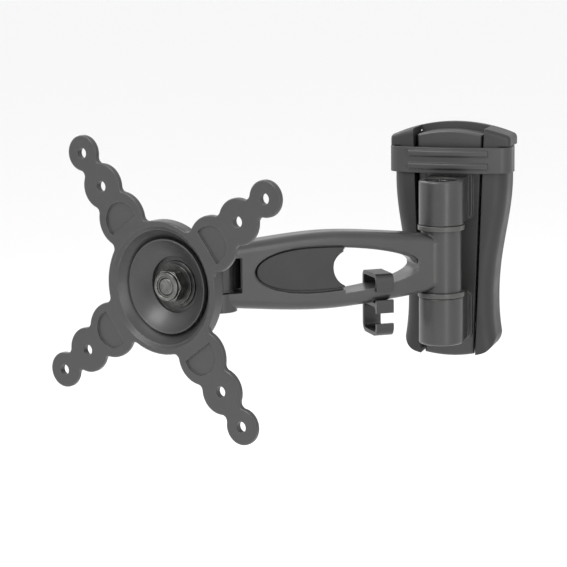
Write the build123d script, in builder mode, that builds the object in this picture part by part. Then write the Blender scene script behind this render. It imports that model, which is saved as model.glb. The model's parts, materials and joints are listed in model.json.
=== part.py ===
from build123d import *
from math import cos, radians, sin
import os

# Full motion television wall mount: a covered wall bracket, one swivelling arm,
# and a VESA plate held by a ball-shaped friction joint.
# The wall is the plane y = 0, the room lies towards -Y, +X is to the right and +Z is up.
# The origin is on the wall plate's back face, level with the middle of the arm. Millimetres.

# Rest pose, in degrees seen from above; a heading of 0 points straight out of the wall.
ARM_SWING = -55.0
HEAD_TURN = 36.7
PLATE_ROLL = -8.0

# Wall bracket
KNUCKLE_OFFSET = 35.0
BRACKET_TOP = 61.7
BRACKET_BOTTOM = -48.7
CAP_HALF_WIDTH = 28.7
CAP_SHOULDER = 56.0
CAP_ROUNDING = 2.5
GROOVE_DEPTH = 1.3
SIDE_CURVE = ((26.9, 37), (25.3, 18), (21.8, -3), (20.6, -20), (22.0, -39))
SIDE_ROUNDING = 7.5
FOOT_CORNER = (19.7, -44.5)
FOOT_END = (15.5, -46.9)
COVER_FRONT = 22.0
COVER_FRONT_RADIUS = 80.0
COVER_WALL = 2.0
COVER_GAP = 1.3
WALL_PLATE_THICK = 3.0
SPINE_FRONT = 17.5
SPINE_TOP_HALF = 15.6
SPINE_BOTTOM_HALF = 11.4
SPINE_TAPER_TOP = 57.0
SPINE_TAPER_BOTTOM = -60.0
SPINE_CUT_TOP = 70.0
SPINE_TOP = 58.7
SPINE_TOP_CORNER = (16.5, 56.4)
SPINE_FOOT_CORNER = (13.0, -47.2)
SPINE_FOOT_START = -30.0
BAND_BOTTOM = 39.1
BAND_TOP = 51.1
BAND_THICK = 1.5
KNUCKLE_RADIUS = 10.4
KNUCKLE_INNER = 17.1
KNUCKLE_TOP = 37.6
KNUCKLE_BOTTOM = -39.0
KNUCKLE_FLOOR = 29.6
KNUCKLE_ROUNDING = 1.0

WALL_SCREWS = ((-20.5, 45), (20.5, 45), (-15.5, -37), (15.5, -37))
CARRIER_SCREWS = ((-7, 46), (7, 46), (-7, 0), (7, 0), (-6, -43), (6, -43))
CARRIER_SCREW_RADIUS = 2.0
CARRIER_HEAD_RADIUS = 3.6
CARRIER_SCREW_LENGTH = 11.0
CARRIER_SOCKET_RADIUS = 1.7
CARRIER_SOCKET_DEPTH = 1.2
SCREW_SINK = 0.2
KNUCKLES = ((KNUCKLE_INNER, KNUCKLE_TOP), (KNUCKLE_BOTTOM, -KNUCKLE_INNER))
BOSS_HALF = 11.2
BOSS_HEIGHT = 23.0
BOSS_ROUNDING = 3.0
BOSS_RISE = 1.0
WEB_HALF = 9.0
COUNTERBORE_RADIUS = 7.9
CAP_DISC_THICK = 1.2
BAND_INNER_HALF = 27.6
BAND_BACK = 8.0
BAND_CORNER = 6.5
RIB_HEIGHTS = (42.4, 48.4)
RIB_HALF = 1.5
RIB_RISE = 1.0
RIB_HALF_LENGTH = 19.0

# Cutting shapes that reach past everything they cut
FAR_REACH = 60.0
FAR_WIDTH = 200.0

# Fasteners
SHANK_RADIUS = 4.0
RUNNING_GAP = 0.06
SCREW_HEAD_RADIUS = 6.5
NUT_FLATS_HALF = 6.5
NUT_CORNER_RADIUS = 7.2
SOCKET_HALF = 3.0
PIVOT_SHANK_RADIUS = 3.0
PIVOT_HEAD_RADIUS = 5.0
PIVOT_FLATS_HALF = 5.0
PIVOT_CORNER_RADIUS = 5.6
PIVOT_SOCKET_HALF = 2.5
WASHER_THICK = 1.4
WASHER_RADIUS = 7.4
SCREW_CHAMFER = 0.5
ARM_BOLT_HEAD = 6.0
ARM_BOLT_SOCKET = 3.6
ARM_BOLT_TAIL = 9.0
ARM_NUT_HEIGHT = 6.3
HEAD_BOLT_HEAD = 4.0
HEAD_BOLT_SOCKET = 2.6
HEAD_BOLT_TAIL = 3.0
HEAD_NUT_HEIGHT = 3.4
VESA_HOLE_RADIUS = 2.5
WALL_HOLE_RADIUS = 3.0

# Arm
ARM_LENGTH = 107.8
ARM_HALF_THICK = 7.75
BARREL_RADIUS = 9.4
BARREL_HALF = 14.5
BUSH_FLANGE_THICK = 2.3
FLANGE_ROUNDING = 0.3
FORK_RADIUS = 8.2
FORK_HALF = 16.5
FORK_RECESS_RADIUS = 6.2
SLOT_HALF = 8.0
SLOT_END = 11.6
POCKET_DEPTH = 2.4
INLAY_THICK = 2.0
INLAY_CHAMFER = 0.4
INLAY_GAP = 1.2
PEG_SPOTS = ((66, 0), (80, 0))
PEG_RADIUS = 1.6
PEG_LENGTH = 3.0
BUSH_FLANGE_RADIUS = 10.9
BUSH_SLEEVE_RADIUS = 6.2
BUSH_SLEEVE_LENGTH = 9.0
FORK_RECESS = 4.8
FORK_CAP_THICK = 1.0
OPENING_ARC_RADIUS = 9.4
OPENING_ARC_CENTRE = 46.0
OPENING_END = 50.0
ARM_ROUNDING = 4.3
ARM_BLEND = 7.0
BLEND_HALF = 9.5
ARM_TOP_EDGE = ((0, 12.4), (25, 14.9), (60, 17.2), (88, 15.2), (ARM_LENGTH, 13.4))
ARM_BOTTOM_EDGE = ((0, -12.8), (25, -15.7), (60, -18.3), (88, -16.6), (ARM_LENGTH, -14.6))
LENS_HEIGHT = -0.8
LENS_HALF_HEIGHT = 11.0
LENS_PEAK = 65.0
LENS_NEAR_END = 14.0
LENS_FAR_END = 93.2
LENS_NEAR_PULL = 25.0
LENS_FAR_PULL = 16.0
LENS_TIP_PULL = 6.0
CLIP_CENTRE = 31.4
CLIP_WIDTH = 8.3
CLIP_WALL = 1.8
CLIP_HALF = ARM_HALF_THICK + CLIP_WALL
CLIP_TOP_CORNER = 3.0
CLIP_BOTTOM_CORNER = 4.0
CLIP_TOP = -3.4
CLIP_BOTTOM = -32.3
RAIL_UNDERSIDE = -16.9
CLIP_MOUTHS = ((-11.4, -15.4), (-21.4, -26.4))

# Head and plate, measured from the head pivot along the stud
PLATE_FACE = 42.0
BALL_CENTRE = 57.0
DISH_FRONT_RADIUS = 30.3
DISH_BACK_RADIUS = 33.3
FIT_GAP = 0.3
PLATE_THICK = 3.0
RING_RADIUS = 29.5
RING_DEPTH = 6.0
DISH_HOLE_RADIUS = 12.6
DISC_RADIUS = 21.0
DISC_THICK = 2.0
LINER_THICK = 1.5
CUP_THICK = 3.0
CUP_RADIUS = 21.6
CUP_BOSS_RADIUS = 12.0
CUP_BOSS_BACK = 16.0
NECK_HALF = 5.6
NECK_END = 13.2
BLOCK_RADIUS = 6.8
HEEL_LENGTH = 10.4
HEEL_ROUNDING = 2.0
BLOCK_HALF = 6.9
HEAD_SLEEVE_RADIUS = 4.4
HEAD_SLEEVE_LENGTH = 5.0
HEAD_FLANGE_THICK = 0.8
STUD_BACK = 7.6
STUD_FRONT = 38.0
DISC_BOSS_THICK = 1.0
DISC_SEAT_RADIUS = 12.4
DISC_BOSS_INSET = 2.4
WASHER_LARGE = 10.5
SPRING_RADIUS = 9.0
SPRING_HEIGHT = 1.2
SPRING_THICK = 0.8
DISC_WASHER_THICK = 1.0
NUT_HEX_HEIGHT = 4.4
COLLAR_HEIGHT = 1.8
COLLAR_RADIUS = 6.4
COLLAR_BORE = 4.9
LOBE_FILLET = 2.5
EDGE_ROUNDING = 0.9
RIM_BEVEL = 0.8
SCOOP_CENTRE = 34.9
SCOOP_RADIUS = 8.5
SCOOP_CHORD = 32.6
SCOOP_DEPTH = 0.9
LOBES = ((35.6, 12.4), (53.03, 10.2))
TIP_DISTANCE = 70.71
TIP_RADIUS = 8.0
VESA_SMALL = 75.0
VESA_LARGE = 100.0

ARM_HEADING = ARM_SWING
HEAD_HEADING = ARM_SWING + HEAD_TURN


def direction(heading):
    """Level unit vector at a heading, 0 being straight out of the wall."""
    return Vector(sin(radians(heading)), -cos(radians(heading)), 0)


def level_plane(origin, heading, height=0.0):
    """Level plane whose local x runs along the heading."""
    return Plane(origin=origin + Vector(0, 0, height), x_dir=direction(heading), z_dir=(0, 0, 1))


def upright_plane(origin, heading):
    """Upright plane: local x runs along the heading and local y runs up."""
    return Plane(origin=origin, x_dir=direction(heading), z_dir=direction(heading - 90))


def write(builder, name):
    """Label a finished sub-part and write it as its own file."""
    builder.part.label = name
    export_step(builder.part, f"parts/{name}.step")


def rims(builder, radius):
    """Circular edges of one radius."""
    circles = builder.edges().filter_by(GeomType.CIRCLE)
    return circles.filter_by(lambda e: abs(e.radius - radius) < 0.01)


knuckle = Vector(0, -KNUCKLE_OFFSET, 0)
head_pivot = knuckle + direction(ARM_HEADING) * ARM_LENGTH
arm_side = upright_plane(knuckle, ARM_HEADING)
head_side = upright_plane(head_pivot, HEAD_HEADING)
plate_level = direction(HEAD_HEADING + 90) * cos(radians(PLATE_ROLL))
plate_front = Plane(
    origin=head_pivot + direction(HEAD_HEADING) * PLATE_FACE,
    x_dir=plate_level + Vector(0, 0, sin(radians(PLATE_ROLL))),
    z_dir=direction(HEAD_HEADING),
)
stud_axis = Axis(head_pivot, direction(HEAD_HEADING))

os.makedirs("parts", exist_ok=True)

# ---------------------------------------------------------------- wall bracket


def bracket_solid(inset):
    """The bracket's outer form, shrunk all round by the inset: an outline cut to a bowed front."""
    half_top = CAP_HALF_WIDTH - inset
    step_height = BAND_TOP + FIT_GAP + inset / 2
    side = [(x - inset, z) for x, z in SIDE_CURVE]
    foot_corner = (FOOT_CORNER[0] - inset, FOOT_CORNER[1] + inset)
    foot_end = (FOOT_END[0], FOOT_END[1] + inset)
    with BuildPart() as solid:
        with BuildSketch(Plane.XZ):
            with BuildLine():
                top = ThreePointArc(
                    (-half_top, CAP_SHOULDER - inset),
                    (0, BRACKET_TOP - inset),
                    (half_top, CAP_SHOULDER - inset),
                )
                right = Line(top @ 1, (half_top, step_height))
                notch = Line(right @ 1, (half_top - GROOVE_DEPTH, step_height))
                flank = Line(notch @ 1, side[0])
                curve = Spline(*side)
                corner = ThreePointArc(curve @ 1, foot_corner, foot_end)
                ThreePointArc(corner @ 1, (0, BRACKET_BOTTOM + inset), (-foot_end[0], foot_end[1]))
                mirror(right, about=Plane.YZ)
                mirror(notch, about=Plane.YZ)
                mirror(flank, about=Plane.YZ)
                mirror(curve, about=Plane.YZ)
                mirror(corner, about=Plane.YZ)
            make_face()
        extrude(amount=COVER_FRONT + FAR_REACH)
        with BuildSketch(Plane.XY.offset(BRACKET_BOTTOM)):
            with Locations((0, COVER_FRONT_RADIUS - COVER_FRONT + inset)):
                Circle(COVER_FRONT_RADIUS)
        extrude(amount=2 * BRACKET_TOP, mode=Mode.INTERSECT)
    return solid.part


def spine_sketch(margin):
    """Front view of the tapered spine, widened by the margin on each side."""
    with BuildSketch(Plane.XZ) as sketch:
        with BuildLine():
            Polyline(
                (-SPINE_TOP_HALF - margin, SPINE_TAPER_TOP),
                (-SPINE_BOTTOM_HALF - margin, SPINE_TAPER_BOTTOM),
                (SPINE_BOTTOM_HALF + margin, SPINE_TAPER_BOTTOM),
                (SPINE_TOP_HALF + margin, SPINE_TAPER_TOP),
                (SPINE_TOP_HALF + margin, SPINE_CUT_TOP),
                (-SPINE_TOP_HALF - margin, SPINE_CUT_TOP),
                close=True,
            )
        make_face()
    return sketch.sketch


def slab_in_front(thickness):
    """Everything in front of a plane parallel to the wall, to cut away what lies beyond it."""
    with BuildPart() as slab:
        with BuildSketch(Plane.XZ.offset(thickness)):
            Rectangle(FAR_WIDTH, FAR_WIDTH)
        extrude(amount=FAR_REACH)
    return slab.part


outer_form = bracket_solid(0)
inner_form = bracket_solid(COVER_WALL)
plate_form = bracket_solid(COVER_WALL + 2 * FIT_GAP)
gap_sketch = spine_sketch(COVER_GAP)
wall_sketch = spine_sketch(COVER_GAP + COVER_WALL)
middle_sketch = spine_sketch(COVER_GAP - FIT_GAP)

# What the spine keeps: rounded top and bottom ends between straight sides.
with BuildPart() as spine_trim:
    with BuildSketch(Plane.XZ):
        top_x, top_z = SPINE_TOP_CORNER
        foot_x, foot_z = SPINE_FOOT_CORNER
        with BuildLine():
            ThreePointArc((-top_x, top_z), (0, SPINE_TOP), (top_x, top_z))
            Polyline((top_x, top_z), (top_x, SPINE_FOOT_START), (foot_x, foot_z))
            ThreePointArc((foot_x, foot_z), (0, BRACKET_BOTTOM), (-foot_x, foot_z))
            Polyline((-foot_x, foot_z), (-top_x, SPINE_FOOT_START), (-top_x, top_z))
        make_face()
    extrude(amount=FAR_REACH)

with BuildPart() as cover_hollow:
    add(inner_form)
    extrude(wall_sketch, amount=FAR_REACH, mode=Mode.SUBTRACT)

with BuildPart() as plate_room:
    add(inner_form)
    add(slab_in_front(WALL_PLATE_THICK + FIT_GAP), mode=Mode.SUBTRACT)

with BuildPart() as cover_pair:
    add(outer_form)
    long_edges = cover_pair.edges().filter_by(lambda e: e.center().Y < -12 and e.length > 30)
    fillet(long_edges.filter_by(lambda e: abs(e.center().X) > 15), radius=SIDE_ROUNDING)
    cap_corners = cover_pair.edges().filter_by(Axis.Y).group_by(Axis.Z)[-1]
    fillet(cap_corners, radius=CAP_ROUNDING)
    front_edges = cover_pair.edges().filter_by(lambda e: e.center().Y < -12)
    fillet(front_edges.filter_by(lambda e: e.center().Z > BAND_TOP + 1), radius=CAP_ROUNDING)
    add(cover_hollow.part, mode=Mode.SUBTRACT)
    add(plate_room.part, mode=Mode.SUBTRACT)
    extrude(gap_sketch, amount=FAR_REACH, mode=Mode.SUBTRACT)

for side_name, keep in (("left_cover", Keep.BOTTOM), ("right_cover", Keep.TOP)):
    with BuildPart() as cover:
        add(cover_pair.part)
        split(bisect_by=Plane.YZ, keep=keep)
    write(cover, side_name)


def screw_section(x, z, margin):
    """Half section of a countersunk screw driven in from the wall side, widened by the margin."""
    top = margin - SCREW_SINK
    with BuildSketch(Plane(origin=(x, 0, z), x_dir=(1, 0, 0), z_dir=(0, 0, 1))) as section:
        with BuildLine():
            Polyline(
                (0, top),
                (CARRIER_HEAD_RADIUS + margin, top),
                (CARRIER_SCREW_RADIUS + margin, top - CARRIER_HEAD_RADIUS + CARRIER_SCREW_RADIUS),
                (CARRIER_SCREW_RADIUS + margin, -CARRIER_SCREW_LENGTH),
                (0, -CARRIER_SCREW_LENGTH),
                close=True,
            )
        make_face()
    return section.sketch


with BuildPart() as wall_plate:
    add(outer_form)
    with BuildSketch(Plane.XZ):
        Rectangle(FAR_WIDTH, FAR_WIDTH)
        add(middle_sketch, mode=Mode.SUBTRACT)
    extrude(amount=FAR_REACH, mode=Mode.SUBTRACT)
    add(plate_form)
    add(slab_in_front(WALL_PLATE_THICK), mode=Mode.SUBTRACT)
    with BuildSketch(Plane.XZ):
        with Locations(*WALL_SCREWS):
            Circle(WALL_HOLE_RADIUS)
    extrude(amount=WALL_PLATE_THICK, mode=Mode.SUBTRACT)
    for x, z in CARRIER_SCREWS:
        revolve(screw_section(x, z, RUNNING_GAP), axis=Axis((x, 0, z), (0, 1, 0)), mode=Mode.SUBTRACT)
write(wall_plate, "wall_plate")

with BuildPart() as carrier_screws:
    for x, z in CARRIER_SCREWS:
        revolve(screw_section(x, z, 0), axis=Axis((x, 0, z), (0, 1, 0)))
        with BuildSketch(Plane(origin=(x, -SCREW_SINK, z), x_dir=(1, 0, 0), z_dir=(0, 1, 0))):
            RegularPolygon(CARRIER_SOCKET_RADIUS, 6)
        extrude(amount=-CARRIER_SOCKET_DEPTH, mode=Mode.SUBTRACT)
write(carrier_screws, "carrier_screws")

with BuildPart() as hinge_carrier:
    with BuildSketch(Plane.XZ.offset(WALL_PLATE_THICK)):
        add(spine_sketch(0))
    extrude(amount=SPINE_FRONT - WALL_PLATE_THICK)
    add(spine_trim.part, mode=Mode.INTERSECT)
    front_rim = hinge_carrier.faces().sort_by(Axis.Y)[0].edges()
    fillet(front_rim, radius=EDGE_ROUNDING)
    for turn in (1, -1):
        with BuildSketch(Plane.XZ.offset(SPINE_FRONT)):
            with Locations((0, turn * (KNUCKLE_INNER + BOSS_HEIGHT / 2))):
                RectangleRounded(2 * BOSS_HALF, BOSS_HEIGHT, BOSS_ROUNDING)
        extrude(amount=BOSS_RISE)
    boss_faces = hinge_carrier.faces().filter_by(Axis.Y).group_by(Axis.Y)[0]
    fillet(boss_faces.edges(), radius=BOSS_RISE / 2)
    for low, high in KNUCKLES:
        with BuildSketch(Plane.XY.offset(low)):
            with Locations((0, -SPINE_FRONT)):
                Rectangle(2 * WEB_HALF, KNUCKLE_OFFSET - SPINE_FRONT, align=(Align.CENTER, Align.MAX))
            with Locations((0, -KNUCKLE_OFFSET)):
                Circle(KNUCKLE_RADIUS)
        extrude(amount=high - low)
    knuckle_rims = rims(hinge_carrier, KNUCKLE_RADIUS)
    fillet(knuckle_rims.filter_by(lambda e: abs(e.center().Z) > KNUCKLE_FLOOR), radius=KNUCKLE_ROUNDING)
    with BuildSketch(Plane.XY.offset(KNUCKLE_BOTTOM)):
        with Locations((0, -KNUCKLE_OFFSET)):
            Circle(SHANK_RADIUS)
    extrude(amount=KNUCKLE_TOP - KNUCKLE_BOTTOM, mode=Mode.SUBTRACT)
    for turn in (1, -1):
        with BuildSketch(Plane.XY.offset(turn * KNUCKLE_FLOOR)):
            with Locations((0, -KNUCKLE_OFFSET)):
                Circle(COUNTERBORE_RADIUS)
        extrude(amount=turn * FAR_REACH, mode=Mode.SUBTRACT)
    for x, z in CARRIER_SCREWS:
        with BuildSketch(Plane.XZ.offset(WALL_PLATE_THICK)):
            with Locations((x, z)):
                Circle(CARRIER_SCREW_RADIUS)
        extrude(amount=CARRIER_SCREW_LENGTH, mode=Mode.SUBTRACT)
write(hinge_carrier, "hinge_carrier")

band_radius = COVER_FRONT_RADIUS + FIT_GAP / 2
with BuildPart() as cover_band:
    with BuildSketch(Plane.XY.offset(BAND_BOTTOM)):
        Rectangle(2 * (BAND_INNER_HALF + BAND_THICK), FAR_WIDTH)
        with Locations((0, COVER_FRONT_RADIUS - COVER_FRONT)):
            Circle(band_radius + BAND_THICK, mode=Mode.INTERSECT)
        with Locations((0, -BAND_BACK)):
            Rectangle(FAR_WIDTH, FAR_REACH, align=(Align.CENTER, Align.MAX), mode=Mode.INTERSECT)
    extrude(amount=BAND_TOP - BAND_BOTTOM)
    corners = cover_band.edges().filter_by(Axis.Z).group_by(Axis.Y)[0]
    fillet(corners, radius=BAND_CORNER)
    with BuildSketch(Plane.XY.offset(BAND_BOTTOM)) as band_inside:
        Rectangle(2 * BAND_INNER_HALF, FAR_WIDTH)
        with Locations((0, COVER_FRONT_RADIUS - COVER_FRONT)):
            Circle(band_radius, mode=Mode.INTERSECT)
        fillet(band_inside.vertices().group_by(Axis.Y)[0], radius=BAND_CORNER - BAND_THICK)
    extrude(amount=BAND_TOP - BAND_BOTTOM, mode=Mode.SUBTRACT)
    for rib_height in RIB_HEIGHTS:
        with BuildSketch(Plane.XY.offset(rib_height - RIB_HALF)):
            with Locations((0, COVER_FRONT_RADIUS - COVER_FRONT)):
                Circle(band_radius + BAND_THICK + RIB_RISE)
                Circle(band_radius + BAND_THICK / 2, mode=Mode.SUBTRACT)
            with Locations((0, -BAND_BACK)):
                Rectangle(2 * RIB_HALF_LENGTH, FAR_REACH, align=(Align.CENTER, Align.MAX), mode=Mode.INTERSECT)
        extrude(amount=2 * RIB_HALF)
        rib_rims = rims(cover_band, band_radius + BAND_THICK + RIB_RISE)
        fillet(rib_rims.filter_by(lambda e: abs(e.center().Z - rib_height) < 2 * RIB_HALF), radius=RIB_RISE - 0.1)
write(cover_band, "cover_band")

# ---------------------------------------------------------------- fasteners


def socket_screw(plane, size, head_height, length, socket_depth):
    """Socket head screw: the plane lies under the head, with its normal out of the head."""
    shank_radius, head_radius, socket_half = size
    with BuildPart() as screw:
        with BuildSketch(plane):
            Circle(head_radius)
        extrude(amount=head_height)
        chamfer(screw.faces().sort_by(Axis(plane.origin, plane.z_dir))[-1].edges(), SCREW_CHAMFER)
        with BuildSketch(plane):
            Circle(shank_radius)
        extrude(amount=-length)
        chamfer(screw.faces().sort_by(Axis(plane.origin, plane.z_dir))[0].edges(), SCREW_CHAMFER)
        with BuildSketch(plane.offset(head_height)):
            RegularPolygon(socket_half, 6, major_radius=False)
        extrude(amount=-socket_depth, mode=Mode.SUBTRACT)
    return screw


def hex_nut(plane, size, height):
    """Hexagon nut standing on the plane, its corners rounded off to a circle."""
    shank_radius, flats_half, corner_radius = size
    with BuildPart() as nut:
        with BuildSketch(plane):
            RegularPolygon(flats_half, 6, major_radius=False)
            Circle(corner_radius, mode=Mode.INTERSECT)
            Circle(shank_radius, mode=Mode.SUBTRACT)
        extrude(amount=height)
    return nut


def ring_sketch(plane, outer, inner):
    """Flat ring centred on the plane's origin."""
    with BuildSketch(plane) as ring:
        Circle(outer)
        Circle(inner, mode=Mode.SUBTRACT)
    return ring.sketch


def flanged_bush(plane, bore_radius, sleeve_length, sleeve_radius, flange_thick, flange_radius):
    """Bush with its flange standing out along the plane's normal and its sleeve sunk behind."""
    with BuildPart() as bush:
        extrude(ring_sketch(plane, flange_radius, bore_radius), amount=flange_thick)
        fillet(rims(bush, flange_radius), radius=FLANGE_ROUNDING)
        extrude(ring_sketch(plane, sleeve_radius, bore_radius), amount=-sleeve_length)
    return bush


arm_bolt_size = (SHANK_RADIUS, SCREW_HEAD_RADIUS, SOCKET_HALF)
arm_nut_size = (SHANK_RADIUS, NUT_FLATS_HALF, NUT_CORNER_RADIUS)
arm_bolt_length = 2 * KNUCKLE_FLOOR + ARM_BOLT_TAIL
upper_seat = level_plane(knuckle, 90, KNUCKLE_FLOOR)
lower_seat = Plane(origin=knuckle - Vector(0, 0, KNUCKLE_FLOOR), z_dir=(0, 0, -1))
arm_bolt_plane = upper_seat.offset(WASHER_THICK)
arm_pivot_bolt = socket_screw(arm_bolt_plane, arm_bolt_size, ARM_BOLT_HEAD, arm_bolt_length, ARM_BOLT_SOCKET)
write(arm_pivot_bolt, "arm_pivot_bolt")
write(hex_nut(lower_seat.offset(WASHER_THICK), arm_nut_size, ARM_NUT_HEIGHT), "arm_pivot_nut")

with BuildPart() as arm_pivot_washers:
    for seat in (upper_seat, lower_seat):
        extrude(ring_sketch(seat, WASHER_RADIUS, SHANK_RADIUS), amount=WASHER_THICK)
write(arm_pivot_washers, "arm_pivot_washers")

with BuildPart() as knuckle_cap:
    with BuildSketch(Plane(origin=knuckle + Vector(0, 0, KNUCKLE_BOTTOM), z_dir=(0, 0, 1))):
        Circle(COUNTERBORE_RADIUS)
    extrude(amount=CAP_DISC_THICK)
    fillet(knuckle_cap.edges().group_by(Axis.Z)[0], radius=SCREW_CHAMFER)
write(knuckle_cap, "knuckle_cap")

# ---------------------------------------------------------------- arm


def lens_sketch(gap=0.0):
    """Egg-shaped outline of the arm's opening in side view, drawn smaller by the gap."""
    height = LENS_HALF_HEIGHT - gap
    near = LENS_NEAR_END + gap
    far = LENS_FAR_END - gap
    with BuildSketch() as lens:
        with BuildLine():
            for turn in (1, -1):
                peak_height = LENS_HEIGHT + turn * height
                tip_height = LENS_HEIGHT + turn * LENS_TIP_PULL
                peak = (LENS_PEAK, peak_height)
                Bezier(peak, (LENS_PEAK - LENS_NEAR_PULL, peak_height), (near, tip_height), (near, LENS_HEIGHT))
                Bezier(peak, (LENS_PEAK + LENS_FAR_PULL, peak_height), (far, tip_height), (far, LENS_HEIGHT))
        make_face()
    return lens.sketch


def open_zone():
    """The stretch of the arm that cables pass through, ended by an arc towards the head."""
    with BuildSketch() as zone:
        with Locations((OPENING_END, 0)):
            Rectangle(FAR_REACH, FAR_REACH, align=(Align.MAX, Align.CENTER))
        with Locations((OPENING_ARC_CENTRE, LENS_HEIGHT)):
            Circle(OPENING_ARC_RADIUS)
    return zone.sketch


arm_faces = (arm_side.offset(ARM_HALF_THICK), Plane(
    origin=arm_side.origin - arm_side.z_dir * ARM_HALF_THICK,
    x_dir=arm_side.x_dir,
    z_dir=-arm_side.z_dir,
))

with BuildPart() as arm_link:
    with BuildSketch(arm_side):
        with BuildLine():
            top_edge = Spline(*ARM_TOP_EDGE)
            bottom_edge = Spline(*ARM_BOTTOM_EDGE)
            Line(top_edge @ 0, bottom_edge @ 0)
            Line(top_edge @ 1, bottom_edge @ 1)
        make_face()
    extrude(amount=ARM_HALF_THICK, both=True)
    fillet(arm_link.edges().filter_by(lambda e: e.length > 90), radius=ARM_ROUNDING)
    with BuildSketch(level_plane(knuckle, ARM_HEADING, -BARREL_HALF)):
        Circle(BARREL_RADIUS)
    extrude(amount=2 * BARREL_HALF)
    with BuildSketch(level_plane(knuckle, ARM_HEADING, -BLEND_HALF)) as blend:
        Rectangle(3 * BARREL_RADIUS, 2 * ARM_HALF_THICK, align=(Align.MIN, Align.CENTER))
        Circle(BARREL_RADIUS)
        hollows = blend.vertices().filter_by(lambda v: 0 < v.X < BARREL_RADIUS)
        fillet(hollows, radius=ARM_BLEND)
    extrude(amount=2 * BLEND_HALF)
    with BuildSketch(level_plane(head_pivot, ARM_HEADING, -FORK_HALF)):
        Circle(FORK_RADIUS)
    extrude(amount=2 * FORK_HALF)
    with BuildSketch(level_plane(head_pivot, ARM_HEADING, -SLOT_HALF)):
        Circle(SLOT_END)
        Rectangle(FAR_REACH, FAR_REACH, align=(Align.MIN, Align.CENTER))
    extrude(amount=2 * SLOT_HALF, mode=Mode.SUBTRACT)
    for face in arm_faces:
        with BuildSketch(face):
            add(lens_sketch())
        extrude(amount=-POCKET_DEPTH, mode=Mode.SUBTRACT)
    with BuildSketch(arm_side):
        add(lens_sketch())
        add(open_zone(), mode=Mode.INTERSECT)
    extrude(amount=ARM_HALF_THICK, both=True, mode=Mode.SUBTRACT)
    with BuildSketch(level_plane(knuckle, ARM_HEADING)):
        Circle(SHANK_RADIUS + RUNNING_GAP)
    extrude(amount=BARREL_HALF, both=True, mode=Mode.SUBTRACT)
    with BuildSketch(level_plane(head_pivot, ARM_HEADING)):
        Circle(PIVOT_SHANK_RADIUS)
    extrude(amount=FORK_HALF, both=True, mode=Mode.SUBTRACT)
    for turn in (1, -1):
        with BuildSketch(level_plane(knuckle, ARM_HEADING, turn * BARREL_HALF)):
            Circle(BUSH_SLEEVE_RADIUS)
        extrude(amount=-turn * BUSH_SLEEVE_LENGTH, mode=Mode.SUBTRACT)
        with BuildSketch(level_plane(head_pivot, ARM_HEADING, turn * FORK_HALF)):
            Circle(FORK_RECESS_RADIUS)
        extrude(amount=-turn * FORK_RECESS, mode=Mode.SUBTRACT)
    with BuildSketch(arm_side):
        with Locations(*PEG_SPOTS):
            Circle(PEG_RADIUS)
    extrude(amount=ARM_HALF_THICK, both=True, mode=Mode.SUBTRACT)
write(arm_link, "arm_link")

upper_barrel_end = level_plane(knuckle, ARM_HEADING, BARREL_HALF)
lower_barrel_end = Plane(origin=knuckle - Vector(0, 0, BARREL_HALF), z_dir=(0, 0, -1))
for bush_name, end in (("upper_arm_bush", upper_barrel_end), ("lower_arm_bush", lower_barrel_end)):
    bore = SHANK_RADIUS + RUNNING_GAP
    bush = flanged_bush(end, bore, BUSH_SLEEVE_LENGTH, BUSH_SLEEVE_RADIUS, BUSH_FLANGE_THICK, BUSH_FLANGE_RADIUS)
    write(bush, bush_name)

for inlay_name, face in zip(("rear_inlay", "front_inlay"), arm_faces):
    with BuildPart() as inlay:
        with BuildSketch(face.offset(-POCKET_DEPTH)):
            add(lens_sketch(INLAY_GAP))
            add(open_zone(), mode=Mode.SUBTRACT)
        extrude(amount=INLAY_THICK)
        rim = inlay.faces().sort_by(Axis(face.origin, face.z_dir))[-1].edges()
        chamfer(rim, INLAY_CHAMFER)
        with BuildSketch(face.offset(-POCKET_DEPTH)):
            with Locations(*PEG_SPOTS):
                Circle(PEG_RADIUS)
        extrude(amount=-PEG_LENGTH)
    write(inlay, inlay_name)

clip_section = upright_plane(knuckle + direction(ARM_HEADING) * (CLIP_CENTRE - CLIP_WIDTH / 2), ARM_HEADING + 90)
with BuildPart() as cable_clip:
    with BuildSketch(clip_section) as section:
        with Locations((0, (CLIP_TOP + CLIP_BOTTOM) / 2)):
            Rectangle(2 * CLIP_HALF, CLIP_TOP - CLIP_BOTTOM)
        fillet(section.vertices().group_by(Axis.Y)[-1], radius=CLIP_TOP_CORNER)
        fillet(section.vertices().group_by(Axis.Y)[0], radius=CLIP_BOTTOM_CORNER)
        rail_room = CLIP_TOP - CLIP_WALL - RAIL_UNDERSIDE
        hook_room = RAIL_UNDERSIDE - CLIP_BOTTOM - 2 * CLIP_WALL
        with Locations((0, RAIL_UNDERSIDE + rail_room / 2)):
            RectangleRounded(2 * ARM_HALF_THICK, rail_room, CLIP_TOP_CORNER - CLIP_WALL, mode=Mode.SUBTRACT)
        with Locations((0, CLIP_BOTTOM + CLIP_WALL + hook_room / 2)):
            RectangleRounded(2 * ARM_HALF_THICK, hook_room, CLIP_BOTTOM_CORNER - CLIP_WALL, mode=Mode.SUBTRACT)
        for top, bottom in CLIP_MOUTHS:
            with Locations((CLIP_HALF, (top + bottom) / 2)):
                Rectangle(3 * CLIP_WALL, top - bottom, mode=Mode.SUBTRACT)
    extrude(amount=CLIP_WIDTH)
write(cable_clip, "cable_clip")

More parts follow.
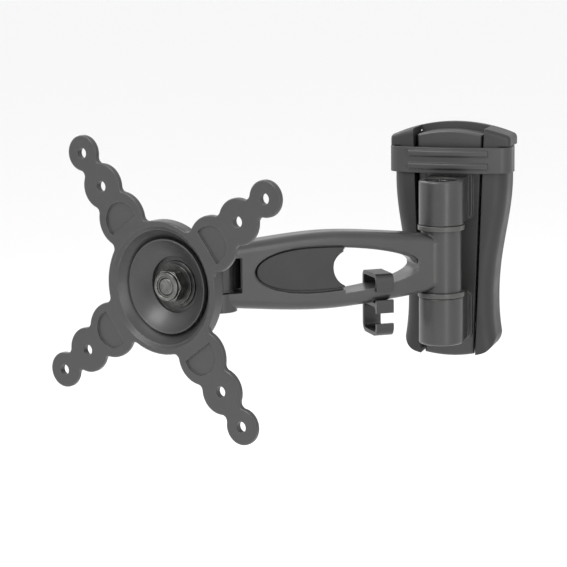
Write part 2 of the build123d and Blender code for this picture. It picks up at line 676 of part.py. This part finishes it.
# ---------------------------------------------------------------- head pivot
fork_floor = FORK_HALF - FORK_RECESS
fork_top = level_plane(head_pivot, ARM_HEADING, fork_floor)
fork_bottom = Plane(origin=head_pivot - Vector(0, 0, fork_floor), x_dir=direction(ARM_HEADING), z_dir=(0, 0, -1))
head_bolt_size = (PIVOT_SHANK_RADIUS, PIVOT_HEAD_RADIUS, PIVOT_SOCKET_HALF)
head_nut_size = (PIVOT_SHANK_RADIUS, PIVOT_FLATS_HALF, PIVOT_CORNER_RADIUS)
head_bolt_length = 2 * fork_floor + HEAD_BOLT_TAIL
head_pivot_bolt = socket_screw(fork_top, head_bolt_size, HEAD_BOLT_HEAD, head_bolt_length, HEAD_BOLT_SOCKET)
write(head_pivot_bolt, "head_pivot_bolt")
write(hex_nut(fork_bottom, head_nut_size, HEAD_NUT_HEIGHT), "head_pivot_nut")

with BuildPart() as fork_cap:
    with BuildSketch(fork_bottom.offset(FORK_RECESS - FORK_CAP_THICK)):
        Circle(FORK_RECESS_RADIUS)
    extrude(amount=FORK_CAP_THICK)
write(fork_cap, "fork_cap")

# ---------------------------------------------------------------- head


def ball_shell(outer_radius, thickness, hole_radius, rim_radius):
    """Bowl-shaped shell about the ball centre, open towards the room."""
    with BuildSketch(head_side) as section:
        with Locations((BALL_CENTRE, 0)):
            Circle(outer_radius)
            Circle(outer_radius - thickness, mode=Mode.SUBTRACT)
        with Locations((BALL_CENTRE, hole_radius)):
            Rectangle(FAR_REACH, rim_radius - hole_radius, align=(Align.MAX, Align.MIN), mode=Mode.INTERSECT)
    return section.sketch


def stud_plane(distance):
    """Plane across the stud, at a distance from the head pivot, facing the room."""
    return Plane(
        origin=head_pivot + direction(HEAD_HEADING) * distance,
        x_dir=direction(HEAD_HEADING + 90),
        z_dir=direction(HEAD_HEADING),
    )


with BuildPart() as swivel_block:
    with BuildSketch(level_plane(head_pivot, HEAD_HEADING, -BLOCK_HALF)):
        Circle(BLOCK_RADIUS)
        Rectangle(CUP_BOSS_BACK, 2 * NECK_HALF, align=(Align.MIN, Align.CENTER))
        Rectangle(HEEL_LENGTH, 2 * NECK_HALF, align=(Align.MAX, Align.CENTER))
    extrude(amount=2 * BLOCK_HALF)
    heel_corners = swivel_block.edges().filter_by(Axis.Z).sort_by(stud_axis)[:2]
    fillet(heel_corners, radius=HEEL_ROUNDING)
    with BuildSketch(stud_plane(NECK_END)):
        Circle(CUP_BOSS_RADIUS)
    extrude(amount=CUP_BOSS_BACK - NECK_END)
    fillet(swivel_block.faces().sort_by(stud_axis)[-1].edges(), radius=0.6)
    with BuildSketch(level_plane(head_pivot, HEAD_HEADING)):
        Circle(PIVOT_SHANK_RADIUS + RUNNING_GAP)
    extrude(amount=BLOCK_HALF, both=True, mode=Mode.SUBTRACT)
    for turn in (1, -1):
        with BuildSketch(level_plane(head_pivot, HEAD_HEADING, turn * BLOCK_HALF)):
            Circle(HEAD_SLEEVE_RADIUS)
        extrude(amount=-turn * HEAD_SLEEVE_LENGTH, mode=Mode.SUBTRACT)
    with BuildSketch(stud_plane(STUD_BACK)):
        Circle(SHANK_RADIUS)
    extrude(amount=CUP_BOSS_BACK - STUD_BACK, mode=Mode.SUBTRACT)
write(swivel_block, "swivel_block")

upper_block_end = level_plane(head_pivot, HEAD_HEADING, BLOCK_HALF)
lower_block_end = Plane(origin=head_pivot - Vector(0, 0, BLOCK_HALF), z_dir=(0, 0, -1))
for bush_name, end in (("upper_head_bush", upper_block_end), ("lower_head_bush", lower_block_end)):
    bore = PIVOT_SHANK_RADIUS + RUNNING_GAP
    bush = flanged_bush(end, bore, HEAD_SLEEVE_LENGTH, HEAD_SLEEVE_RADIUS, HEAD_FLANGE_THICK, BLOCK_RADIUS)
    write(bush, bush_name)

cup_front = DISH_BACK_RADIUS + LINER_THICK + 2 * FIT_GAP
with BuildPart() as rear_cup:
    revolve(ball_shell(cup_front + CUP_THICK, CUP_THICK, SHANK_RADIUS, CUP_RADIUS), axis=stud_axis)
    with BuildSketch(stud_plane(CUP_BOSS_BACK)):
        Circle(CUP_BOSS_RADIUS)
        Circle(SHANK_RADIUS, mode=Mode.SUBTRACT)
    extrude(amount=CUP_BOSS_RADIUS)
    with Locations(Location(head_pivot + direction(HEAD_HEADING) * BALL_CENTRE)):
        Sphere(cup_front, mode=Mode.SUBTRACT)
write(rear_cup, "rear_cup")

with BuildPart() as tilt_liner:
    liner = ball_shell(cup_front - FIT_GAP, LINER_THICK, DISH_HOLE_RADIUS + 0.6, CUP_RADIUS - 1.0)
    revolve(liner, axis=stud_axis)
write(tilt_liner, "tilt_liner")

disc_back = DISH_FRONT_RADIUS - FIT_GAP
disc_flat = BALL_CENTRE - disc_back + DISC_THICK
with BuildPart() as front_clamp_disc:
    revolve(ball_shell(disc_back, DISC_THICK, SHANK_RADIUS, DISC_RADIUS), axis=stud_axis)
    fillet(rims(front_clamp_disc, DISC_RADIUS), radius=0.4)
    with BuildSketch(stud_plane(disc_flat)):
        Circle(DISC_SEAT_RADIUS - DISC_BOSS_INSET)
        Circle(SHANK_RADIUS, mode=Mode.SUBTRACT)
    extrude(amount=DISC_BOSS_THICK)
    with BuildSketch(stud_plane(disc_flat + DISC_BOSS_THICK)):
        Circle(DISC_SEAT_RADIUS)
    extrude(amount=FAR_REACH, mode=Mode.SUBTRACT)
write(front_clamp_disc, "front_clamp_disc")

disc_seat = disc_flat + DISC_BOSS_THICK
with BuildPart() as disc_washer:
    extrude(ring_sketch(stud_plane(disc_seat), WASHER_LARGE, SHANK_RADIUS), amount=DISC_WASHER_THICK)
    fillet(rims(disc_washer, WASHER_LARGE), radius=0.3)
write(disc_washer, "disc_washer")

spring_seat = disc_seat + DISC_WASHER_THICK
with BuildPart() as spring_washer:
    with BuildSketch(head_side) as spring_section:
        with BuildLine():
            Polyline(
                (spring_seat, SPRING_RADIUS),
                (spring_seat + SPRING_THICK, SPRING_RADIUS),
                (spring_seat + SPRING_HEIGHT, SHANK_RADIUS),
                (spring_seat + SPRING_HEIGHT - SPRING_THICK, SHANK_RADIUS),
                close=True,
            )
        make_face()
    revolve(axis=stud_axis)
write(spring_washer, "spring_washer")

nut_seat = spring_seat + SPRING_HEIGHT
with BuildPart() as centre_nut:
    add(hex_nut(stud_plane(nut_seat), arm_nut_size, NUT_HEX_HEIGHT))
    extrude(ring_sketch(stud_plane(nut_seat + NUT_HEX_HEIGHT), COLLAR_RADIUS, COLLAR_BORE), amount=COLLAR_HEIGHT)
    fillet(rims(centre_nut, COLLAR_RADIUS).sort_by(stud_axis)[-1], radius=0.6)
write(centre_nut, "centre_nut")

with BuildPart() as nut_insert:
    insert = ring_sketch(stud_plane(nut_seat + NUT_HEX_HEIGHT), COLLAR_BORE, SHANK_RADIUS)
    extrude(insert, amount=COLLAR_HEIGHT - 0.5)
write(nut_insert, "nut_insert")

with BuildPart() as centre_stud:
    with BuildSketch(stud_plane(STUD_BACK)):
        Circle(SHANK_RADIUS)
    extrude(amount=STUD_FRONT - STUD_BACK)
    chamfer(centre_stud.faces().sort_by(stud_axis)[-1].edges(), 0.7)
write(centre_stud, "centre_stud")

# ---------------------------------------------------------------- plate
with BuildPart() as vesa_plate:
    with BuildSketch(plate_front) as outline:
        Circle(RING_RADIUS)
        for distance, radius in LOBES:
            with PolarLocations(distance, 4, start_angle=45):
                Circle(radius)
        with PolarLocations(-TIP_DISTANCE, 4, start_angle=45):
            Circle(TIP_RADIUS)
        fillet(outline.vertices(), radius=LOBE_FILLET)
    extrude(amount=-PLATE_THICK)
    plate_axis = Axis(plate_front.origin, plate_front.z_dir)
    fillet(vesa_plate.faces().sort_by(plate_axis)[-1].edges(), radius=EDGE_ROUNDING)
    fillet(vesa_plate.faces().sort_by(plate_axis)[0].edges(), radius=EDGE_ROUNDING)
    with BuildSketch(head_side):
        with Locations((BALL_CENTRE, 0)):
            Circle(DISH_BACK_RADIUS)
        with Locations((PLATE_FACE - RING_DEPTH, 0)):
            Rectangle(RING_DEPTH, 2 * RING_RADIUS, align=(Align.MIN, Align.CENTER))
        dish_width = RING_RADIUS - DISH_HOLE_RADIUS
        with Locations((PLATE_FACE - EDGE_ROUNDING, DISH_HOLE_RADIUS)):
            Rectangle(FAR_REACH, dish_width, align=(Align.MAX, Align.MIN), mode=Mode.INTERSECT)
    revolve(axis=stud_axis)
    with Locations(Location(head_pivot + direction(HEAD_HEADING) * BALL_CENTRE)):
        Sphere(DISH_FRONT_RADIUS, mode=Mode.SUBTRACT)
    rim_radius = (DISH_FRONT_RADIUS**2 - (BALL_CENTRE - PLATE_FACE) ** 2) ** 0.5
    with Locations(stud_plane(PLATE_FACE - RIM_BEVEL)):
        Cone(rim_radius - RIM_BEVEL, rim_radius + RIM_BEVEL, 2 * RIM_BEVEL, mode=Mode.SUBTRACT)
    with BuildSketch(plate_front):
        with PolarLocations(SCOOP_CENTRE, 4, start_angle=45):
            Circle(SCOOP_RADIUS)
        with PolarLocations(SCOOP_CHORD, 4, start_angle=45):
            Rectangle(SCOOP_RADIUS, 4 * SCOOP_RADIUS, align=(Align.MAX, Align.CENTER), mode=Mode.SUBTRACT)
    extrude(amount=-SCOOP_DEPTH, mode=Mode.SUBTRACT)
    with BuildSketch(plate_front):
        for spacing in (VESA_SMALL, VESA_LARGE):
            with GridLocations(spacing, spacing, 2, 2):
                Circle(VESA_HOLE_RADIUS)
    extrude(amount=-PLATE_THICK, mode=Mode.SUBTRACT)
write(vesa_plate, "vesa_plate")
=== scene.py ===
"""Full motion TV wall mount: camera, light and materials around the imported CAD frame."""
import json

import bpy
from mathutils import Matrix, Vector


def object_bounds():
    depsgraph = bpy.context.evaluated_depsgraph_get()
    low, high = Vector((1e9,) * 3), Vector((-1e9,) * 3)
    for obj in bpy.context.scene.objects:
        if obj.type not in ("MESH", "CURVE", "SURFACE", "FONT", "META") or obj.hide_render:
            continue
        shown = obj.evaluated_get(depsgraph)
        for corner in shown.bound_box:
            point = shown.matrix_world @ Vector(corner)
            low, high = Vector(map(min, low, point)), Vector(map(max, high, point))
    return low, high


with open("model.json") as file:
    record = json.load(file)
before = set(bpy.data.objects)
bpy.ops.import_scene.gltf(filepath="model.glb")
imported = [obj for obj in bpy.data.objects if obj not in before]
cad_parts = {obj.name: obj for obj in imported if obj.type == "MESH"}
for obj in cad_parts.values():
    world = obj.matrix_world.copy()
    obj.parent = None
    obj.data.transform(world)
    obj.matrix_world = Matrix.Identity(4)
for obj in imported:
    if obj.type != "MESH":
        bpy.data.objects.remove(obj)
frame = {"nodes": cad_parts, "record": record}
CAD_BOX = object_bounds()
MIDDLE = tuple((low + high) / 2 for low, high in zip(*CAD_BOX))

# ------------------------------------------------------------------ camera
# Place in metres, lens and sensor in millimetres
CAMERA_PLACE = Vector((0.2157, -0.9777, 0.1546))
CAMERA_FORWARD = Vector((-0.29225, 0.94140, -0.16840))
CAMERA_UP = Vector((-0.03746, 0.16468, 0.98564))
CAMERA_LENS = 133.3
CAMERA_SENSOR = 36.0

camera_data = bpy.data.cameras.new("camera")
camera_data.lens = CAMERA_LENS
camera_data.sensor_width = CAMERA_SENSOR
camera = bpy.data.objects.new("camera", camera_data)
bpy.context.scene.collection.objects.link(camera)
back = -CAMERA_FORWARD.normalized()
right = CAMERA_UP.cross(back).normalized()
camera_turn = Matrix((right, back.cross(right), back)).transposed().to_4x4()
camera.matrix_world = Matrix.Translation(CAMERA_PLACE) @ camera_turn
bpy.context.scene.camera = camera

# ------------------------------------------------------------------ stage and light
FLOOR_HEIGHT = -0.35
FLOOR_HALF = 40.0
FLOOR_PALE = (0.93, 0.93, 0.93, 1)
FLOOR_ROUGHNESS = 0.9

# name: (place, width, height, power in watts)
SOFTBOXES = {
    "key_light": ((-0.7, -1.2, 1.3), 0.9, 0.9, 20),
    "strip_light": ((1.1, -1.3, 0.5), 0.25, 1.6, 9),
    "rim_light": ((-0.9, 0.5, 0.9), 0.6, 0.6, 7),
}
WORLD_COLOUR = (1, 1, 1, 1)
WORLD_STRENGTH = 1.0


def floor(height, half_size):
    """Plain pale floor well below the mount, which hangs on a wall."""
    mesh = bpy.data.meshes.new("floor")
    corners = [(-half_size, -half_size, height), (half_size, -half_size, height)]
    corners += [(half_size, half_size, height), (-half_size, half_size, height)]
    mesh.from_pydata(corners, [], [(0, 1, 2, 3)])
    obj = bpy.data.objects.new("floor", mesh)
    bpy.context.scene.collection.objects.link(obj)
    pale = bpy.data.materials.new("floor_pale")
    pale.use_nodes = True
    shader = pale.node_tree.nodes["Principled BSDF"]
    shader.inputs["Base Color"].default_value = FLOOR_PALE
    shader.inputs["Roughness"].default_value = FLOOR_ROUGHNESS
    mesh.materials.append(pale)


def softbox(name, place, width, height, power):
    """Rectangular area light aimed at the middle of the mount."""
    data = bpy.data.lights.new(name, "AREA")
    data.shape = "RECTANGLE"
    data.size = width
    data.size_y = height
    data.energy = power
    obj = bpy.data.objects.new(name, data)
    obj.location = place
    aim = Vector(MIDDLE) - Vector(place)
    obj.rotation_euler = aim.to_track_quat("-Z", "Y").to_euler()
    bpy.context.scene.collection.objects.link(obj)


floor(FLOOR_HEIGHT, FLOOR_HALF)
for light_name, settings in SOFTBOXES.items():
    softbox(light_name, *settings)

world = bpy.data.worlds.new("studio")
bpy.context.scene.world = world
world.use_nodes = True
background = world.node_tree.nodes["Background"]
background.inputs["Color"].default_value = WORLD_COLOUR
background.inputs["Strength"].default_value = WORLD_STRENGTH
bpy.context.scene.view_settings.view_transform = "Standard"

# ------------------------------------------------------------------ materials
# Numbers of the colour sockets of a mix node: both colours in, mixed colour out
MIX_FIRST = 6
MIX_SECOND = 7
MIX_RESULT = 2

# Edge rounding and the cosine at which an edge gets the full painted highlight
BEVEL_SAMPLES = 6
EDGE_COSINE = 0.75

# Painted and moulded surfaces; scales count features per metre
NOISE_BAND = (0.3, 0.7)
CLOUD_SCALE = 45
CLOUD_DETAIL = 4
CLOUD_SHADES = (0.88, 1.1)
GRAIN_DETAIL = 3
GRAIN_STRENGTH = 0.5
SPECKLE_FINER = 1.7
SPECKLE_DETAIL = 1
SPECKLE_BAND = (0.35, 0.65)
SPECKLE_SHARE = 0.35
SPECKLE_SHADE = 1.35
# Noise that breaks up the painted highlight along the edges; the highlight keeps at least the
# least share
HIGHLIGHT_NOISE_SCALE = 260
HIGHLIGHT_NOISE_DETAIL = 5
HIGHLIGHT_NOISE_BAND = (0.42, 0.68)
HIGHLIGHT_LEAST = 0.15
GLOSS_SCALE = 90
GLOSS_DETAIL = 4
GLOSS_SPREAD = (-0.05, 0.07)
COAT_ROUGHNESS = 0.25

# Turned steel; the streaks are squeezed along the height, so they run around
STEEL_BEVEL = 0.0003
STREAK_SCALE = 900
STREAK_DETAIL = 3
STREAK_STRETCH = (1, 1, 4)
STREAK_SPREAD = (-0.08, 0.1)
STREAK_STRENGTH = 0.3
STREAK_DEPTH = 0.00002
STAIN_SCALE = 320
STAIN_DETAIL = 4
STAIN_BAND = (0.35, 0.65)
STAIN_SHADES = (0.7, 1.3)
STEEL_METALLIC = 0.9


class Graph:
    """Small helper that adds and links the nodes of one material."""

    def __init__(self, name):
        self.material = bpy.data.materials.new(name)
        self.material.use_nodes = True
        self.tree = self.material.node_tree
        self.shader = self.tree.nodes["Principled BSDF"]
        self.coords = self.add("ShaderNodeTexCoord").outputs["Object"]

    def add(self, kind, **settings):
        node = self.tree.nodes.new(kind)
        for key, value in settings.items():
            setattr(node, key, value)
        return node

    def link(self, source, socket):
        self.tree.links.new(source, socket)

    def noise(self, scale, detail, stretch=(1, 1, 1)):
        """Noise in object space; scale counts features per metre."""
        mapping = self.add("ShaderNodeMapping")
        mapping.inputs["Scale"].default_value = stretch
        self.link(self.coords, mapping.inputs["Vector"])
        node = self.add("ShaderNodeTexNoise")
        node.inputs["Scale"].default_value = scale
        node.inputs["Detail"].default_value = detail
        self.link(mapping.outputs["Vector"], node.inputs["Vector"])
        return node.outputs["Fac"]

    def ranged(self, source, band, out_low, out_high):
        """Value whose band, from low to high, is carried to another range."""
        node = self.add("ShaderNodeMapRange")
        names = ("From Min", "From Max", "To Min", "To Max")
        for socket, value in zip(names, (*band, out_low, out_high)):
            node.inputs[socket].default_value = value
        self.link(source, node.inputs["Value"])
        return node.outputs["Result"]

    def mixed(self, factor, first, second):
        """Colour mixed by a factor between two colours, each a socket or an RGB triple."""
        node = self.add("ShaderNodeMix", data_type="RGBA")
        self.link(factor, node.inputs["Factor"])
        for socket, value in ((node.inputs[MIX_FIRST], first), (node.inputs[MIX_SECOND], second)):
            if isinstance(value, tuple):
                socket.default_value = (*value, 1)
            else:
                self.link(value, socket)
        return node.outputs[MIX_RESULT]

    def edges(self, radius):
        """Rounded normal and a mask that is bright along edges."""
        bevel = self.add("ShaderNodeBevel", samples=BEVEL_SAMPLES)
        bevel.inputs["Radius"].default_value = radius
        geometry = self.add("ShaderNodeNewGeometry")
        dot = self.add("ShaderNodeVectorMath", operation="DOT_PRODUCT")
        self.link(bevel.outputs["Normal"], dot.inputs[0])
        self.link(geometry.outputs["Normal"], dot.inputs[1])
        mask = self.ranged(dot.outputs["Value"], (1.0, EDGE_COSINE), 0.0, 1.0)
        return bevel.outputs["Normal"], mask

    def bump(self, height, strength, distance, normal):
        """Normal with a fine relief on top of another normal."""
        node = self.add("ShaderNodeBump")
        node.inputs["Strength"].default_value = strength
        node.inputs["Distance"].default_value = distance
        self.link(height, node.inputs["Height"])
        self.link(normal, node.inputs["Normal"])
        return node.outputs["Normal"]


def scaled(colour, factor):
    """RGB triple made darker or paler by a factor."""
    return tuple(channel * factor for channel in colour)


def spread(value, offsets):
    """The values at two offsets from one value."""
    return tuple(value + offset for offset in offsets)


def coated(name, colour, roughness, grain, depth, highlight_colour, bevel, coat=0.0):
    """Painted or moulded surface: cloudy colour, fine grain and a paler painted highlight along
    the edges.
    """
    graph = Graph(name)
    rounded, edge = graph.edges(bevel)
    cloud = graph.ranged(graph.noise(CLOUD_SCALE, CLOUD_DETAIL), NOISE_BAND, 0, 1)
    fine = graph.noise(grain, GRAIN_DETAIL)
    speckle = graph.ranged(graph.noise(grain * SPECKLE_FINER, SPECKLE_DETAIL), SPECKLE_BAND, 0, 1)
    base = graph.mixed(cloud, *(scaled(colour, shade) for shade in CLOUD_SHADES))
    sparse = graph.ranged(speckle, (0, 1), 0, SPECKLE_SHARE)
    base = graph.mixed(sparse, base, scaled(colour, SPECKLE_SHADE))
    # Painted highlight: a paler colour laid along the edges, broken up by noise
    highlight_breakup = graph.ranged(graph.noise(HIGHLIGHT_NOISE_SCALE, HIGHLIGHT_NOISE_DETAIL), HIGHLIGHT_NOISE_BAND, HIGHLIGHT_LEAST, 1)
    painted_highlight = graph.add("ShaderNodeMath", operation="MULTIPLY")
    graph.link(edge, painted_highlight.inputs[0])
    graph.link(highlight_breakup, painted_highlight.inputs[1])
    base = graph.mixed(painted_highlight.outputs["Value"], base, highlight_colour)
    graph.link(base, graph.shader.inputs["Base Color"])
    gloss = graph.noise(GLOSS_SCALE, GLOSS_DETAIL)
    rough = graph.ranged(gloss, NOISE_BAND, *spread(roughness, GLOSS_SPREAD))
    graph.link(rough, graph.shader.inputs["Roughness"])
    relief = graph.bump(fine, GRAIN_STRENGTH, depth, rounded)
    graph.link(relief, graph.shader.inputs["Normal"])
    graph.shader.inputs["Coat Weight"].default_value = coat
    graph.shader.inputs["Coat Roughness"].default_value = COAT_ROUGHNESS
    return graph.material


def turned_steel(name, colour, roughness, highlight_colour):
    """Oxide-blackened steel with fine machining streaks and a bright painted highlight along the
    edges.
    """
    graph = Graph(name)
    rounded, edge = graph.edges(STEEL_BEVEL)
    streaks = graph.noise(STREAK_SCALE, STREAK_DETAIL, STREAK_STRETCH)
    stain = graph.ranged(graph.noise(STAIN_SCALE, STAIN_DETAIL), STAIN_BAND, 0, 1)
    base = graph.mixed(stain, *(scaled(colour, shade) for shade in STAIN_SHADES))
    # Painted highlight: a brighter colour laid along the edges
    base = graph.mixed(edge, base, highlight_colour)
    graph.link(base, graph.shader.inputs["Base Color"])
    rough = graph.ranged(streaks, NOISE_BAND, *spread(roughness, STREAK_SPREAD))
    graph.link(rough, graph.shader.inputs["Roughness"])
    relief = graph.bump(streaks, STREAK_STRENGTH, STREAK_DEPTH, rounded)
    graph.link(relief, graph.shader.inputs["Normal"])
    graph.shader.inputs["Metallic"].default_value = STEEL_METALLIC
    return graph.material


# slot: settings of coated(), with the depth of the grain and the bevel in metres
# The edge colour of each entry is a painted highlight laid along the edges
COATED = {
    "cast_paint": {
        "colour": (0.024, 0.0245, 0.0235),
        "roughness": 0.36,
        "grain": 1500,
        "depth": 0.00003,
        "highlight_colour": (0.11, 0.11, 0.105),
        "bevel": 0.0008,
        "coat": 0.25,
    },
    "plate_paint": {
        "colour": (0.026, 0.0265, 0.026),
        "roughness": 0.42,
        "grain": 1900,
        "depth": 0.00004,
        "highlight_colour": (0.1, 0.1, 0.1),
        "bevel": 0.0006,
        "coat": 0.15,
    },
    "plate_steel": {
        "colour": (0.033, 0.033, 0.032),
        "roughness": 0.45,
        "grain": 1700,
        "depth": 0.00004,
        "highlight_colour": (0.15, 0.15, 0.15),
        "bevel": 0.0004,
    },
    "cover_plastic": {
        "colour": (0.0125, 0.013, 0.012),
        "roughness": 0.5,
        "grain": 2600,
        "depth": 0.00004,
        "highlight_colour": (0.04, 0.04, 0.04),
        "bevel": 0.0007,
    },
    "band_plastic": {
        "colour": (0.032, 0.0325, 0.0315),
        "roughness": 0.42,
        "grain": 3000,
        "depth": 0.00002,
        "highlight_colour": (0.06, 0.06, 0.06),
        "bevel": 0.0007,
    },
    "clip_plastic": {
        "colour": (0.017, 0.017, 0.0175),
        "roughness": 0.38,
        "grain": 3000,
        "depth": 0.00002,
        "highlight_colour": (0.06, 0.06, 0.06),
        "bevel": 0.0005,
    },
    "bush_plastic": {
        "colour": (0.05, 0.05, 0.048),
        "roughness": 0.35,
        "grain": 3000,
        "depth": 0.00001,
        "highlight_colour": (0.2, 0.2, 0.19),
        "bevel": 0.0004,
    },
}

# slot: settings of turned_steel(); the edge colour is a painted highlight laid along the edges
TURNED = {
    "black_steel": {"colour": (0.06, 0.06, 0.058), "roughness": 0.34, "highlight_colour": (0.3, 0.3, 0.29)},
    "nut_steel": {"colour": (0.13, 0.13, 0.123), "roughness": 0.32, "highlight_colour": (0.45, 0.45, 0.43)},
}

slot_materials = {slot: coated(slot, **settings) for slot, settings in COATED.items()}
slot_materials.update({slot: turned_steel(slot, **settings) for slot, settings in TURNED.items()})

for subpart in frame["record"]["subparts"]:
    node = frame["nodes"][subpart["node"]]
    node.data.materials.clear()
    node.data.materials.append(slot_materials[subpart["material_slot"]])
